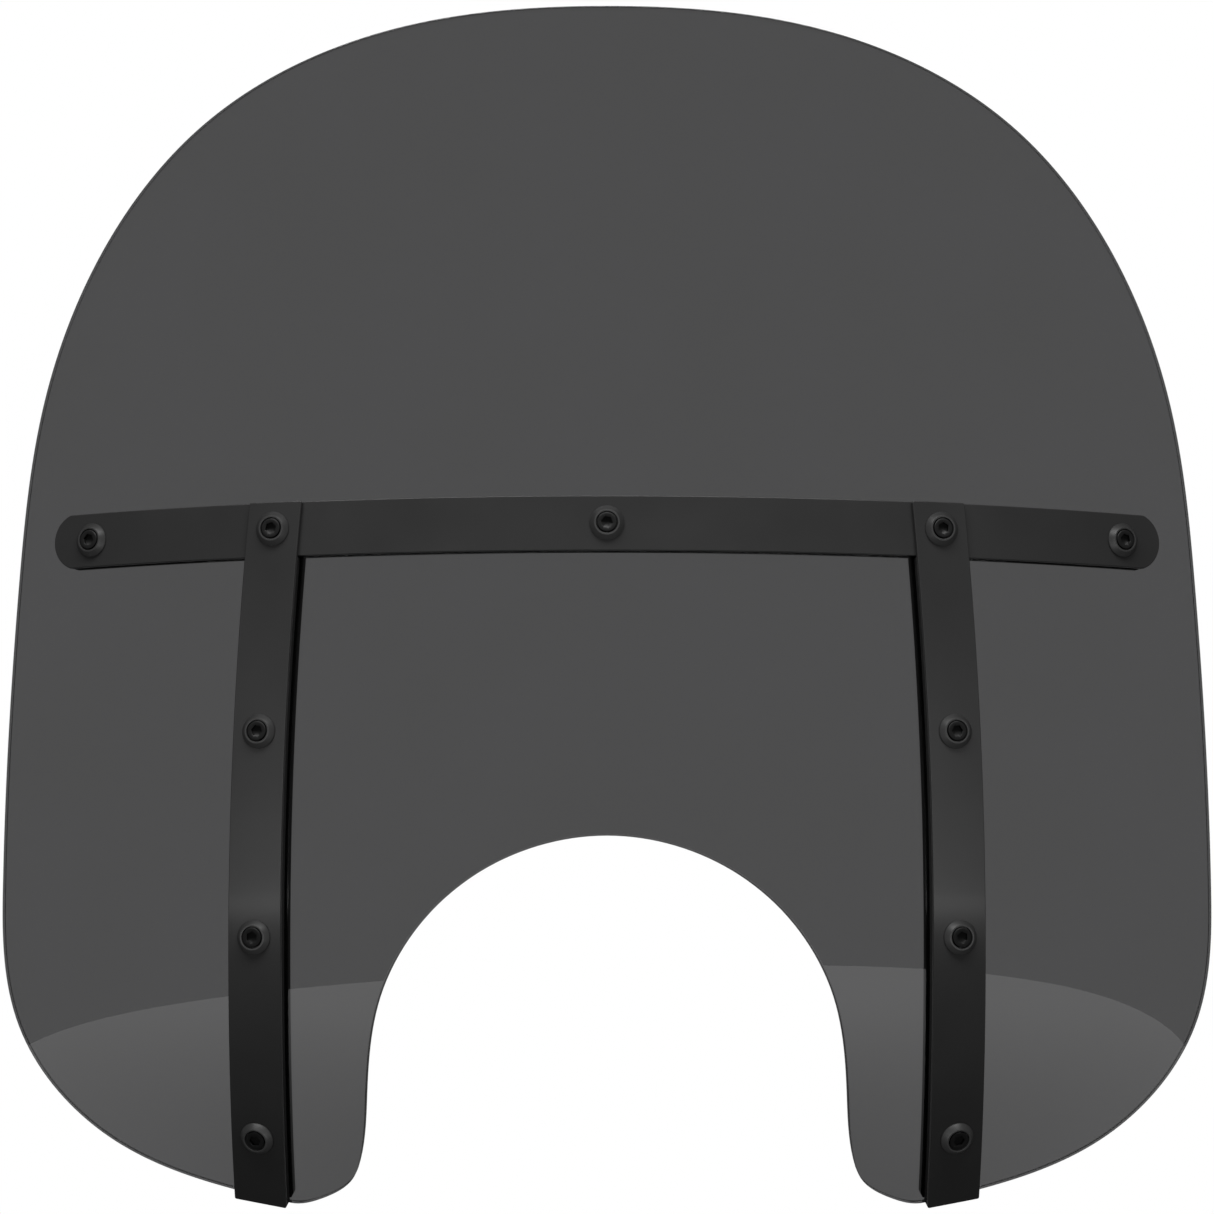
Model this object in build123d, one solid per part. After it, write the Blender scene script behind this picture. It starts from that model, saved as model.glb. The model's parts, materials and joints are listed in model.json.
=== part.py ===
from build123d import *
import os
from math import asin, cos, degrees, radians, sin, sqrt, tan

os.makedirs("parts", exist_ok=True)

# A motorcycle windshield: a smoked plastic screen, curved both ways, held between
# black flat bars. One crossbar and two posts lie on its front face, the same three
# lie on its rear face, and eleven screws clamp them together through the screen.
# The posts pass over the crossbars, so a thicker tape fills the space under them.
#
# The model is drawn upright, with the front towards -Y, +X to the right and +Z up.
# Its zero is on the screen's front face, in the middle of the crossbar. Here the
# screen's upper part is a piece of an upright tube. At the end everything leans
# back and moves, so that the origin is the middle of the four bracket studs.
# An "offset" is a distance from the screen's front face, positive to the front.

# ---- Driving dimensions, in millimetres and degrees ----

# Screen
panel_thickness = 4.76
panel_radius = 570.0        # side-to-side curve of the front face
panel_lean = 7.5            # how far the upper part leans back
panel_half_width = 286.6
panel_top = 245.3           # crown above the crossbar's middle
panel_foot = 310.4          # lowest edge below the crossbar's middle
bend_start = 166.5          # below the crossbar's middle, where the ears curl back
bend_radius = 250.0         # of that curl, on the front face at the middle
cutout_top = 143.3          # top of the headlight arch below the crossbar's middle
cutout_half_width = 111.0
foot_corner_gap = 37.0      # from the cutout's side out to where the ears are lowest

# Bars
bar_width = 25.4
bar_thickness = 2.5
tape_thickness = 0.5        # soft strip between each crossbar and the screen
crossbar_edge_gap = 21.0    # from the crossbar's end to the screen's side edge
crossbar_end_bulge = 0.8    # by how much the end's radius is more than half the width
crossbar_end_hole = 21.0    # from the crossbar's end to its outer hole
post_offset = 160.3         # middle of a post's lower run, out from the middle
post_sweep_radius = 2000.0  # gentle inward sweep of a post above the bend
post_foot_gap = 1.0         # from a post's lower end to the level of the screen's lowest edge
post_end_hole = 36.0        # from a post's lower end to its lowest hole
post_tape_gap = 0.3         # from a crossbar's lower edge to the thick tape under a post

# Fasteners
screw_diameter = 6.35
screw_head_diameter = 9.0
screw_socket = 4.76         # across the flats
screw_socket_depth = 1.8
bar_hole_clearance = 0.75   # on the screw's diameter
bushing_bore_clearance = 0.35
bushing_wall = 1.45         # soft sleeve, so that the screen can grow and shrink
bushing_clearance = 0.2     # all round, in the screen's hole
bushing_end_gap = 0.1
cup_head_gap = 0.6          # all round the screw's head
cup_lip = 0.8
cup_bevel = 2.05            # how far the bevel spreads, from lip to rim
cup_rim = 0.8
cup_height = 3.0
cup_floor = 0.6
washer_diameter = 15.9
washer_thickness = 1.6
nut_flats = 11.1
cap_nut_hex = 5.6
cap_nut_height = 10.5
cap_nut_wall = 2.0          # metal left over the screw's tip
cap_nut_tip_gap = 0.5
cap_nut_dome_inset = 0.45   # the dome is this much smaller in radius than the hexagon
thin_nut_height = 4.0
stud_relief = 1.2           # turned groove between the nut and the free thread
stud_relief_depth = 0.5
stud_length = 13.0          # free thread for the bike's own brackets
tip_chamfer = 0.6

# ---- Sizes that follow ----

tape_front = tape_thickness
bar_front = tape_front + bar_thickness
junction_front = bar_front + bar_thickness
tape_rear = -panel_thickness - tape_thickness
bar_rear = tape_rear - bar_thickness
junction_rear = bar_rear - bar_thickness

half_bar = bar_width / 2
crossbar_end_radius = half_bar + crossbar_end_bulge
bar_hole = screw_diameter + bar_hole_clearance
bushing_bore = screw_diameter + bushing_bore_clearance
bushing_diameter = bushing_bore + 2 * bushing_wall
panel_hole = bushing_diameter + 2 * bushing_clearance
cup_pocket = screw_head_diameter + 2 * cup_head_gap
cup_top_diameter = cup_pocket + 2 * cup_lip
cup_diameter = cup_top_diameter + 2 * cup_bevel
foot_inner_corner = cutout_half_width + foot_corner_gap
through = 60.0              # longer than any stack of pieces, for cuts that go right through

post_azimuth = degrees(asin(post_offset / panel_radius))
post_blank_spread = degrees(1.5 * bar_width / panel_radius)    # wide enough for the sweep


def depth_at(x):
    """How far the front face has fallen back at a distance from the middle."""
    return panel_radius - sqrt(panel_radius**2 - x**2)


def bend_angle_at(x, below):
    """How far round the lower curl a point of the front face lies."""
    return degrees(asin((below - bend_start) / (bend_radius - depth_at(x))))


post_bend_radius = bend_radius - depth_at(post_offset)
foot_angle = bend_angle_at(foot_inner_corner, panel_foot)
post_foot_angle = foot_angle - degrees(post_foot_gap / post_bend_radius)
post_run = bend_start + radians(post_foot_angle) * post_bend_radius
post_hole_pitch = (post_run - post_end_hole) / 3

edge_half_width = panel_half_width * 0.976    # the screen is a little narrower there
crossbar_half_length = panel_radius * asin(edge_half_width / panel_radius) - crossbar_edge_gap
crossbar_end_angle = degrees(crossbar_half_length / panel_radius)
crossbar_hole_angle = degrees((crossbar_half_length - crossbar_end_hole) / panel_radius)


# ---- Places on the screen ----

def on_tube(azimuth, height):
    """A plane on the upper part's front face, facing straight out of it."""
    a = radians(azimuth)
    origin = (panel_radius * sin(a), panel_radius * (1 - cos(a)), height)
    return Plane(origin=origin, x_dir=(cos(a), sin(a), 0), z_dir=(sin(a), -cos(a), 0))


def bend(angle):
    """Turns something at the start of the lower curl round the curl."""
    return Pos(0, bend_radius, -bend_start) * Rot(angle, 0, 0) * Pos(0, -bend_radius, bend_start)


def post_sweep_at(height):
    """How far in a post's middle line lies, above the bend."""
    return sqrt(post_sweep_radius**2 - (height + bend_start) ** 2) - post_sweep_radius


def on_post(run):
    """The place on the right post's middle line, a given run below the crossbar's middle."""
    if run <= bend_start:
        swing = degrees(asin(post_sweep_at(-run) / panel_radius))
        return on_tube(post_azimuth + swing, -run).location
    angle = degrees((run - bend_start) / post_bend_radius)
    return bend(angle) * on_tube(post_azimuth, -bend_start).location


def flipped(place):
    """The same place on the left side."""
    plane = Plane(place)
    origin = (-plane.origin.X, plane.origin.Y, plane.origin.Z)
    facing = (-plane.z_dir.X, plane.z_dir.Y, plane.z_dir.Z)
    across = (plane.x_dir.X, -plane.x_dir.Y, -plane.x_dir.Z)
    return Plane(origin=origin, x_dir=across, z_dir=facing).location


def turned(section, start, end):
    """Turns a section, drawn as offset and height, about the upper part's axis."""
    face = Plane.XZ * Pos(panel_radius, 0) * section
    ring = revolve(face, axis=Axis.Z, revolution_arc=end - start)
    return Pos(0, panel_radius, 0) * Rot(0, 0, start - 90) * ring


def layer(inner, outer, low, high, start, end):
    """A piece of the tube wall between two offsets, two heights and two azimuths."""
    section = Pos((inner + outer) / 2, (low + high) / 2) * Rectangle(outer - inner, high - low)
    return turned(section, start, end)


def curled(upper, angle):
    """Carries the lowest face of a solid on round the lower curl."""
    foot = upper.faces().sort_by(Axis.Z)[0]
    axis = Axis((0, bend_radius, -bend_start), (1, 0, 0))
    return upper + revolve(foot, axis=axis, revolution_arc=angle)


# ---- Screen ----

def panel_outline():
    """The screen's edge, seen from the front: crown, ear, foot and headlight arch."""
    w, t, f = panel_half_width, panel_top, panel_foot
    widest = (w, -0.96 * bend_start)
    crown = [(0, t), (0.384 * w, 0.956 * t), (0.68 * w, 0.7925 * t), (0.841 * w, 0.573 * t),
             (0.941 * w, 0.287 * t), (0.981 * w, -0.065 * t), widest]
    ear = [widest, (0.972 * w, -0.735 * f), (0.824 * w, -0.9 * f), (0.607 * w, -0.981 * f),
           (foot_inner_corner, -f)]
    c, top = cutout_half_width, cutout_top
    drop = f - top
    corner = (c + 0.135 * foot_corner_gap, -f + 0.088 * drop)
    turn = (c + 0.57 * foot_corner_gap, -f + 0.014 * drop)
    arch = [corner, (c, -f + 0.3 * drop), (0.94 * c, -f + 0.56 * drop),
            (0.819 * c, -f + 0.72 * drop), (0.579 * c, -f + 0.88 * drop), (0, -top)]
    right = [
        Spline(crown, tangents=[(1, 0), (0, -1)]),
        Spline(ear, tangents=[(0, -1), (-1, -0.2)]),
        Spline([ear[-1], turn, corner], tangents=[(-1, -0.2), (-0.35, 1)]),
        Spline(arch, tangents=[(-0.35, 1), (-1, 0)]),
    ]
    left = [edge.mirror(Plane.YZ) for edge in right]
    return make_face(Curve() + right + left)


def windshield_panel(holes):
    spread = degrees(asin(panel_half_width / panel_radius)) + 3
    upper = layer(-panel_thickness, 0, -bend_start, panel_top + 20, -spread, spread)
    blank = curled(upper, foot_angle + 8)
    template = extrude(Plane.XZ * panel_outline(), amount=panel_radius, both=True)
    return drilled(blank & template, holes, panel_hole)


# ---- Bars and the tape under them ----

def drilled(solid, places, diameter):
    """Drills square to the screen at each place."""
    for place in places:
        solid = solid - place * Cylinder(diameter / 2, through)
    return solid


def crossbar(inner, outer):
    """A level bar with rounded ends."""
    bar = layer(inner, outer, -half_bar, half_bar, -crossbar_end_angle, crossbar_end_angle)
    flat = sqrt(crossbar_end_radius**2 - half_bar**2)
    centre = degrees((crossbar_half_length - crossbar_end_radius) / panel_radius)
    corner = centre + degrees(flat / panel_radius)
    end = layer(inner, outer, -half_bar, half_bar, corner, crossbar_end_angle + 1)
    waste = end - on_tube(centre, 0).location * Cylinder(crossbar_end_radius, through)
    return bar - waste - mirror(waste, Plane.YZ)


def post(inner, outer, high):
    """The right post, or the tape under it, from a height down round the lower curl."""
    start, end = post_azimuth - post_blank_spread, post_azimuth + post_blank_spread
    blank = layer(inner, outer, -bend_start, high, start, end)
    centre = Pos(-post_sweep_radius, -bend_start)
    strip = centre * (Circle(post_sweep_radius + half_bar) - Circle(post_sweep_radius - half_bar))
    window = Pos(0, (high - bend_start) / 2) * Rectangle(4 * bar_width, high + bend_start)
    outline = on_tube(post_azimuth, 0) * (strip & window)
    upper = blank & extrude(outline, amount=through, both=True)
    return curled(upper, post_foot_angle)


# ---- Fasteners, drawn along Z with zero on the screen's front face ----

def disc(diameter, low, high):
    """A plain cylinder between two offsets."""
    return Pos(0, 0, (low + high) / 2) * Cylinder(diameter / 2, high - low)


def hexagon(flats, low, high):
    """A hexagonal prism between two offsets."""
    return Pos(0, 0, low) * extrude(RegularPolygon(flats / 2, 6, major_radius=False), amount=high - low)


def cup_washer(seat):
    """A bevelled cup that hides the screw's head."""
    bevel_foot = seat + cup_rim
    body = disc(cup_diameter, seat, bevel_foot)
    bevel_height = cup_height - cup_rim
    cone = Cone(cup_diameter / 2, cup_top_diameter / 2, bevel_height)
    body = body + Pos(0, 0, bevel_foot + bevel_height / 2) * cone
    pocket = disc(cup_pocket, seat + cup_floor, seat + cup_height + 1)
    return body - pocket - disc(bar_hole, seat - 1, seat + cup_height)


def screw(seat, tip):
    """A low-head screw with a hexagon socket, from its cup's floor to its tip."""
    head_top = seat + cup_height
    body = disc(screw_head_diameter, seat + cup_floor, head_top)
    shank = disc(screw_diameter, tip, seat + cup_floor)
    shank = chamfer(shank.faces().sort_by(Axis.Z)[0].edges(), tip_chamfer)
    return body + shank - hexagon(screw_socket, head_top - screw_socket_depth, head_top + 1)


def stud_screw(seat, nut_end):
    """A long screw: past its nut, a turned groove and a free threaded end."""
    tip = nut_end - stud_relief - stud_length
    groove = disc(screw_diameter + 2, nut_end - stud_relief, nut_end)
    groove = groove - disc(screw_diameter - 2 * stud_relief_depth, nut_end - through, nut_end + through)
    return screw(seat, tip) - groove


def rear_washer(seat):
    bore = disc(bar_hole, seat - through, seat + through)
    return disc(washer_diameter, seat - washer_thickness, seat) - bore


def cap_nut(seat):
    """A domed nut, closed over the screw's tip."""
    hexed = hexagon(nut_flats, seat - cap_nut_hex, seat)
    dome_radius = nut_flats / 2 - cap_nut_dome_inset
    barrel_end = seat - cap_nut_height + dome_radius
    dome = disc(2 * dome_radius, barrel_end, seat) + Pos(0, 0, barrel_end) * Sphere(dome_radius)
    bore = disc(screw_diameter, seat - cap_nut_height + cap_nut_wall, seat + 1)
    return hexed + dome - bore


def thin_nut(seat):
    """An open nut that leaves the screw's end free."""
    bore = disc(screw_diameter, seat - through, seat + through)
    return hexagon(nut_flats, seat - thin_nut_height, seat) - bore


def bushing():
    """A soft sleeve between the screw and the wide hole in the screen."""
    low, high = tape_rear, tape_front - bushing_end_gap
    return disc(bushing_diameter, low, high) - disc(bushing_bore, low - 1, high + 1)


# ---- Where the eleven screws are ----

centre_place = on_tube(0, 0).location
end_place = on_tube(crossbar_hole_angle, 0).location
post_places = [on_post(i * post_hole_pitch) for i in range(4)]
junction_place, upper_place, middle_place, lower_place = post_places
crossbar_places = [centre_place, end_place, flipped(end_place)]
crossbar_places += [junction_place, flipped(junction_place)]
all_places = crossbar_places + [p for q in post_places[1:] for p in (q, flipped(q))]


def seat_gap(radius):
    """A flat washer on a hollow face bears on its rim, this far off the face."""
    return (washer_diameter / 2) ** 2 / (2 * radius)


# Each screw position: name, place, front seat, rear seat, and whether it is a bracket stud.
rear_seat = bar_rear - seat_gap(panel_radius + bar_rear)
deep_seat = junction_rear - seat_gap(panel_radius + junction_rear)
bent_seat = junction_rear - seat_gap(post_bend_radius + junction_rear)
positions = [("crossbar_center", centre_place, bar_front, rear_seat, False)]
for side, turn in (("right", lambda place: place), ("left", flipped)):
    positions += [
        ("crossbar_end_" + side, turn(end_place), bar_front, rear_seat, False),
        ("junction_" + side, turn(junction_place), junction_front, deep_seat, False),
        ("post_upper_" + side, turn(upper_place), junction_front, deep_seat, False),
        ("post_middle_" + side, turn(middle_place), junction_front, bent_seat, True),
        ("post_lower_" + side, turn(lower_place), junction_front, bent_seat, True),
    ]

# ---- Pieces ----

pieces = {}
pieces["windshield_panel"] = windshield_panel(all_places)

pieces["front_crossbar"] = drilled(crossbar(tape_front, bar_front), crossbar_places, bar_hole)
pieces["rear_crossbar"] = drilled(crossbar(bar_rear, tape_rear), crossbar_places, bar_hole)
pieces["front_crossbar_tape"] = drilled(crossbar(0, tape_front), crossbar_places, panel_hole)
pieces["rear_crossbar_tape"] = drilled(crossbar(tape_rear, -panel_thickness), crossbar_places, panel_hole)

tape_top = -half_bar - post_tape_gap
post_pieces = {
    "front_post": drilled(post(bar_front, junction_front, half_bar), post_places, bar_hole),
    "rear_post": drilled(post(junction_rear, bar_rear, half_bar), post_places, bar_hole),
    "front_post_tape": drilled(post(0, bar_front, tape_top), post_places, panel_hole),
    "rear_post_tape": drilled(post(bar_rear, -panel_thickness, tape_top), post_places, panel_hole),
}
for name, solid in post_pieces.items():
    pieces[name + "_right"] = solid
    pieces[name + "_left"] = mirror(solid, Plane.YZ)

bushings, washers = [], []
for name, place, front_seat, seat, is_stud in positions:
    nut_seat = seat - washer_thickness
    pieces["cup_washer_" + name] = place * cup_washer(front_seat)
    if is_stud:
        pieces["screw_" + name] = place * stud_screw(front_seat, nut_seat - thin_nut_height)
        pieces["thin_nut_" + name] = place * thin_nut(nut_seat)
    else:
        screw_tip = nut_seat - cap_nut_height + cap_nut_wall + cap_nut_tip_gap
        pieces["screw_" + name] = place * screw(front_seat, screw_tip)
        pieces["cap_nut_" + name] = place * cap_nut(nut_seat)
    bushings.append(place * bushing())
    washers.append(place * rear_washer(seat))
pieces["panel_bushings"] = Compound(children=bushings)
pieces["rear_washers"] = Compound(children=washers)

# ---- Lean everything back, with the origin in the middle of the bracket studs ----

lean = Rot(-panel_lean, 0, 0)
stud_seat = bent_seat - washer_thickness - thin_nut_height
stud_points = [lean * place * Pos(0, 0, stud_seat) for place in (middle_place, lower_place)]
stud_y = sum(p.position.Y for p in stud_points) / 2
stud_z = sum(p.position.Z for p in stud_points) / 2
placing = Pos(0, -stud_y, -stud_z) * lean

for name, solid in pieces.items():
    export_step(placing * solid, "parts/" + name + ".step")
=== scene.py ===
# %% [markdown]
# # A smoked windshield on black bars
#
# This is a motorcycle windshield. A smoked plastic screen, 4.8 mm thick, is curved
# round an upright tube, and its two lower ears curl back towards the bike. A level
# crossbar and two posts lie on its front face and three matching bars lie behind it.
# Eleven screws in bevelled cup washers clamp the stack together.
#
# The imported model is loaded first. It fixes every place and size. Each piece below is
# made at the same place with rounded edges and a finish, and then stands for its node.

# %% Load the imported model
import json
from math import asin, cos, degrees, pi, radians, sin, sqrt, tau

import bmesh
import bpy
import numpy as np
from mathutils import Matrix, Vector

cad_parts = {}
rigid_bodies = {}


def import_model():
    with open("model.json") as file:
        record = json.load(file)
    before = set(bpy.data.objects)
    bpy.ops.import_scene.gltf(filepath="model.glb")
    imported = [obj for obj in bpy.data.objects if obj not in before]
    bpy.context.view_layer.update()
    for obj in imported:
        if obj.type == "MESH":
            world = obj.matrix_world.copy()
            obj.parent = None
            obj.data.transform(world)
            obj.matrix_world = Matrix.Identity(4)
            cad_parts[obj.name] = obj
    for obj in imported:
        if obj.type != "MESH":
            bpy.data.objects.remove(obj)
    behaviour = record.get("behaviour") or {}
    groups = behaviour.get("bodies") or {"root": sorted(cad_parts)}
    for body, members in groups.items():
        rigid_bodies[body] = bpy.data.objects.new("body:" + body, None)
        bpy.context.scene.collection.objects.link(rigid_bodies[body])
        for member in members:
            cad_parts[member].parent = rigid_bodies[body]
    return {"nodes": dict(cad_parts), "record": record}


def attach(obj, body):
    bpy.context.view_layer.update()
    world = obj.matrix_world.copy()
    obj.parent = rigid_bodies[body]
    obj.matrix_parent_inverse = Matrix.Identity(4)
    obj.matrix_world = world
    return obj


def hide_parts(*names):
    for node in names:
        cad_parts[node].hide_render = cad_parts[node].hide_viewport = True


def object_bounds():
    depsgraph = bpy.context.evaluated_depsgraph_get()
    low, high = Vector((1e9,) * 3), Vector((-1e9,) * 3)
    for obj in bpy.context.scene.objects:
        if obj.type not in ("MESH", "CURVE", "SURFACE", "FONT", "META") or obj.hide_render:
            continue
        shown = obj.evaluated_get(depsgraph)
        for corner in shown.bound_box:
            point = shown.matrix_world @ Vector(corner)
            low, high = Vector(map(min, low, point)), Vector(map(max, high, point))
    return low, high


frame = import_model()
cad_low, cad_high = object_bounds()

mm = 0.001
print("nodes in the model:", len(frame["nodes"]))
print("model size in mm:", [round(c / mm, 1) for c in cad_high - cad_low])

# %% [markdown]
# ## The sizes of the screen
#
# Everything here lies on one surface, so its few sizes come first. Its upper part is a
# piece of an upright tube. Below a level line it is the same curve, swung back round a
# level axis behind the screen. The whole screen then leans back by a few degrees.

# %% Sizes of the surface
tube_radius = 570 * mm
bend_start = 166.5 * mm
bend_radius = 250 * mm
lean = radians(7.5)
panel_thickness = 4.76 * mm
half_width = 286.6 * mm
crown_height = 245.3 * mm
foot_depth = 310.4 * mm
cutout_depth = 143.3 * mm
cutout_half_width = 111 * mm
foot_corner_gap = 37 * mm


def depth_at(x):
    """How far the front face falls back at a distance from the middle."""
    return tube_radius - sqrt(tube_radius**2 - x**2)


def bend_angle_at(x, below):
    """How far round the curl a point of the front face lies."""
    return asin((below - bend_start) / (bend_radius - depth_at(x)))


foot_angle = bend_angle_at(cutout_half_width + foot_corner_gap, foot_depth)
print("the ears curl back by", round(degrees(foot_angle), 1), "degrees")

# %% [markdown]
# ## The sizes of the bars and screws
#
# The bars are one-inch flat steel bar. A thin tape lies under each crossbar and a thick
# one under each post, because the posts pass over the crossbars. Distances through the
# stack are measured from the front face of the screen, positive to the front, so a
# washer's seat is one number.

# %% Sizes of the bars and of the stack
bar_width = 25.4 * mm
half_bar = bar_width / 2
bar_thickness = 2.5 * mm
tape_thickness = 0.5 * mm
bar_front = tape_thickness + bar_thickness
junction_front = bar_front + bar_thickness
tape_rear = -panel_thickness - tape_thickness
bar_rear = tape_rear - bar_thickness
junction_rear = bar_rear - bar_thickness

level_share = 0.976  # the screen's half width at the crossbar, as a share of its widest
crossbar_edge_gap = 21 * mm
crossbar_end_hole = 21 * mm
crossbar_half_length = (tube_radius * asin(level_share * half_width / tube_radius)
                        - crossbar_edge_gap)
crossbar_end_radius = half_bar + 0.8 * mm
crossbar_hole = crossbar_half_length - crossbar_end_hole

post_offset = 160.3 * mm
post_azimuth = asin(post_offset / tube_radius)
post_sweep_radius = 2000 * mm
post_bend_radius = bend_radius - depth_at(post_offset)
post_foot_gap = 1 * mm
post_end_hole = 36 * mm
post_tape_gap = 0.3 * mm
post_run = bend_start + foot_angle * post_bend_radius - post_foot_gap
post_hole_pitch = (post_run - post_end_hole) / 3
post_tape_top = half_bar + post_tape_gap

washer_thickness = 1.6 * mm
washer_radius = 7.95 * mm
bar_hole_radius = 3.55 * mm
screw_radius = 3.175 * mm
cap_nut_height = 10.5 * mm
thin_nut_height = 4 * mm
stud_relief = 1.2 * mm  # a turned groove between a thin nut and the free thread
stud_half_thread = 6.2 * mm
stud_reach = 14.2 * mm
print("post holes are", round(post_hole_pitch / mm, 2), "mm apart")

# %% [markdown]
# ## Places on the surface
#
# A place is a matrix: its origin lies on the front face, its Z axis points straight out
# of it, and its Y axis points up. The model's own zero is the middle of its bracket
# studs, so the last step moves the upright drawing until one stud meets its record.

# %% Places and the move into the model's frame
def on_tube(azimuth, height):
    """A place on the upper part's front face."""
    out = Vector((sin(azimuth), -cos(azimuth), 0))
    across = Vector((cos(azimuth), sin(azimuth), 0))
    at = Vector((tube_radius * sin(azimuth), tube_radius * (1 - cos(azimuth)), height))
    return Matrix.Translation(at) @ Matrix((across, (0, 0, 1), out)).transposed().to_4x4()


def bend(angle):
    """Swings a place at the bend's start round the curl."""
    axis = Matrix.Translation((0, bend_radius, -bend_start))
    return axis @ Matrix.Rotation(angle, 4, "X") @ axis.inverted()


def sweep_at(run):
    """How far inwards the middle of a post lies, above the bend."""
    return sqrt(post_sweep_radius**2 - (bend_start - min(run, bend_start)) ** 2) - post_sweep_radius


def on_post(run):
    """A place on the right post's middle line."""
    if run <= bend_start:
        return on_tube(post_azimuth + asin(sweep_at(run) / tube_radius), -run)
    return bend((run - bend_start) / post_bend_radius) @ on_tube(post_azimuth, -bend_start)


def seat_gap(radius):
    """A flat washer on a hollow face bears on its rim, this far off the face."""
    return washer_radius**2 / (2 * radius)


stud_seat = (junction_rear - seat_gap(post_bend_radius + junction_rear)
             - washer_thickness - thin_nut_height)
stud_middle = stud_seat - stud_relief - stud_half_thread
turn_back = Matrix.Rotation(-lean, 4, "X")
stud = next(m for m in frame["record"]["mounts"] if m["name"] == "stud_upper_right")
drawn = turn_back @ on_post(2 * post_hole_pitch) @ Vector((0, 0, stud_middle))
stand = Matrix.Translation(Vector(stud["pos_m"]) - drawn) @ turn_back
crossbar_middle = stand @ Vector((0, 0, 0))
print("the drawing moves by", [round(c / mm, 3) for c in stand.translation], "mm")
print("and its sideways error is", round(stand.translation.x / mm, 4), "mm")

# %% [markdown]
# ## The camera
#
# The screen is seen square on from 1.8 metres away. The camera is level and stands a
# little below the crossbar. From so far away the ears and the crown, which lie at
# different depths, keep nearly the same scale.

# %% Camera
camera_distance = 1803 * mm
camera_drop = 38.3 * mm
eye = crossbar_middle + Vector((0, -camera_distance, -camera_drop))
camera = bpy.data.objects.new("camera", bpy.data.cameras.new("camera"))
camera.location = eye
camera.rotation_euler = (radians(90), 0, 0)
camera.data.sensor_width = 36
camera.data.lens = 116.25
camera.data.clip_end = 50
bpy.context.scene.collection.objects.link(camera)
bpy.context.scene.camera = camera
print("camera at", [round(c, 3) for c in eye])

# %% [markdown]
# ## A helper for nodes
#
# Materials, the sky and Geometry Nodes are all node trees, so one small function adds a
# node, sets its properties, and fills its inputs with numbers or links.

# %% Node and colour helpers
def add(tree, kind, inputs=None, **settings):
    """Adds a node with its settings. An input is given a value or another node's socket."""
    new = tree.nodes.new(kind)
    for name, value in settings.items():
        setattr(new, name, value)
    for key, value in (inputs or {}).items():
        if isinstance(value, bpy.types.NodeSocket):
            tree.links.new(value, new.inputs[key])
        else:
            new.inputs[key].default_value = value
    return new


def linear(hex_colour):
    """An sRGB hex colour as the linear red, green, blue and alpha that shaders take."""
    parts = [int(hex_colour[i:i + 2], 16) / 255 for i in (1, 3, 5)]
    return [c / 12.92 if c <= 0.04045 else ((c + 0.055) / 1.055) ** 2.4 for c in parts] + [1]


# %% [markdown]
# ## Smoked acrylic
#
# The screen is cast acrylic sheet, dyed grey in the mass and warmed over a mould. Its
# skin is glossy and clear, and it lets about a fifteenth of the light through. Glass
# shading with a dark base colour gives that: the colour tints what passes, and the
# index of refraction gives the mirror image of the floor. A faint, wide ripple is what
# forming leaves in the sheet.

# %% Smoked acrylic
def smoked_acrylic():
    made = bpy.data.materials.new("smoked_acrylic")
    made.use_nodes = True
    tree = made.node_tree
    shader = tree.nodes["Principled BSDF"]
    shader.inputs["Transmission Weight"].default_value = 1
    shader.inputs["IOR"].default_value = 1.49
    spot = add(tree, "ShaderNodeTexCoord").outputs["Object"]
    # Ripples of about 120 mm, far too shallow to see except in reflections.
    ripple = add(tree, "ShaderNodeTexNoise", {"Vector": spot, "Scale": 8, "Detail": 1})
    bump = add(tree, "ShaderNodeBump",
               {"Height": ripple.outputs["Fac"], "Strength": 0.02, "Distance": 1 * mm})
    tree.links.new(bump.outputs["Normal"], shader.inputs["Normal"])
    # The dye is even to within a few percent over some centimetres.
    cloud = add(tree, "ShaderNodeTexNoise", {"Vector": spot, "Scale": 14, "Detail": 2})
    tint = add(tree, "ShaderNodeMix", {0: cloud.outputs["Fac"], 6: linear("#4b4b4b"),
                                       7: linear("#4d4d4e")}, data_type="RGBA")
    tree.links.new(tint.outputs[2], shader.inputs["Base Color"])
    shader.inputs["Roughness"].default_value = 0
    return made


acrylic = smoked_acrylic()
print("made", acrylic.name)

# %% [markdown]
# ## Black coated metals
#
# The bars are steel under a satin powder coat, which dries with a fine orange-peel
# skin. The cup washers and nuts are plated black and the screws are blackened steel.
# These are duller than the paint and finer in grain. All of them are paint-like to the
# eye, so they are not metallic. The tapes are matt and darker. One function makes them
# all, with the gloss and the size and depth of the skin's grain as its values.

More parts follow.
